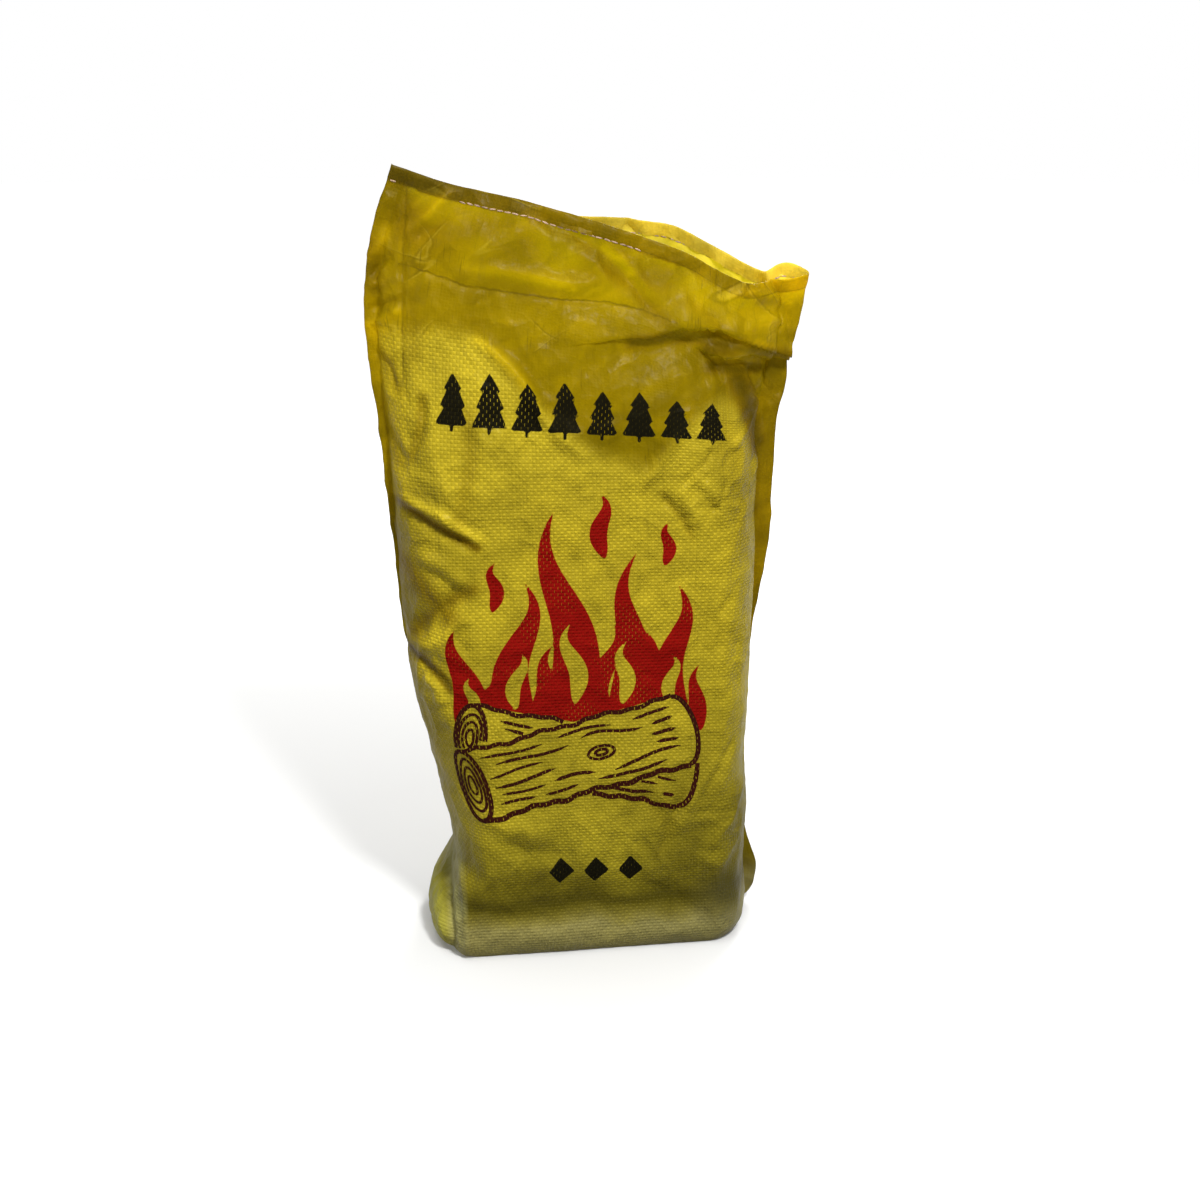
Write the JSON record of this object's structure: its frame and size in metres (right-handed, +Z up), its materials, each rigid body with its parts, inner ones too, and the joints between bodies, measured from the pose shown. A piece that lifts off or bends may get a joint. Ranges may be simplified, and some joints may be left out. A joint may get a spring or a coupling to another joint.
{
  "type": "sack of firewood",
  "caption": "Open-mouthed woven sack standing upright, packed with split hardwood billets, its empty top leaning over a tuck.",
  "frame": {"origin": "on the floor under the middle of the sack's bounding box", "axes": "+Z up along the sack, +X to the sack's right as seen from its printed front, the printed front faces -Y"},
  "size_m": [0.3924, 0.161, 0.706],
  "materials": {
    "woven_tape_cloth": "satin yellow woven tape",
    "split_hardwood": "rough split"
  },
  "bodies": {
    "root": {"sack": "woven_tape_cloth", "billet_01": "split_hardwood", "billet_02": "split_hardwood", "billet_03": "split_hardwood", "billet_04": "split_hardwood", "billet_05": "split_hardwood", "billet_06": "split_hardwood", "billet_07": "split_hardwood", "billet_08": "split_hardwood", "billet_09": "split_hardwood", "billet_10": "split_hardwood", "billet_11": "split_hardwood", "billet_12": "split_hardwood"}
  },
  "joints": []
}
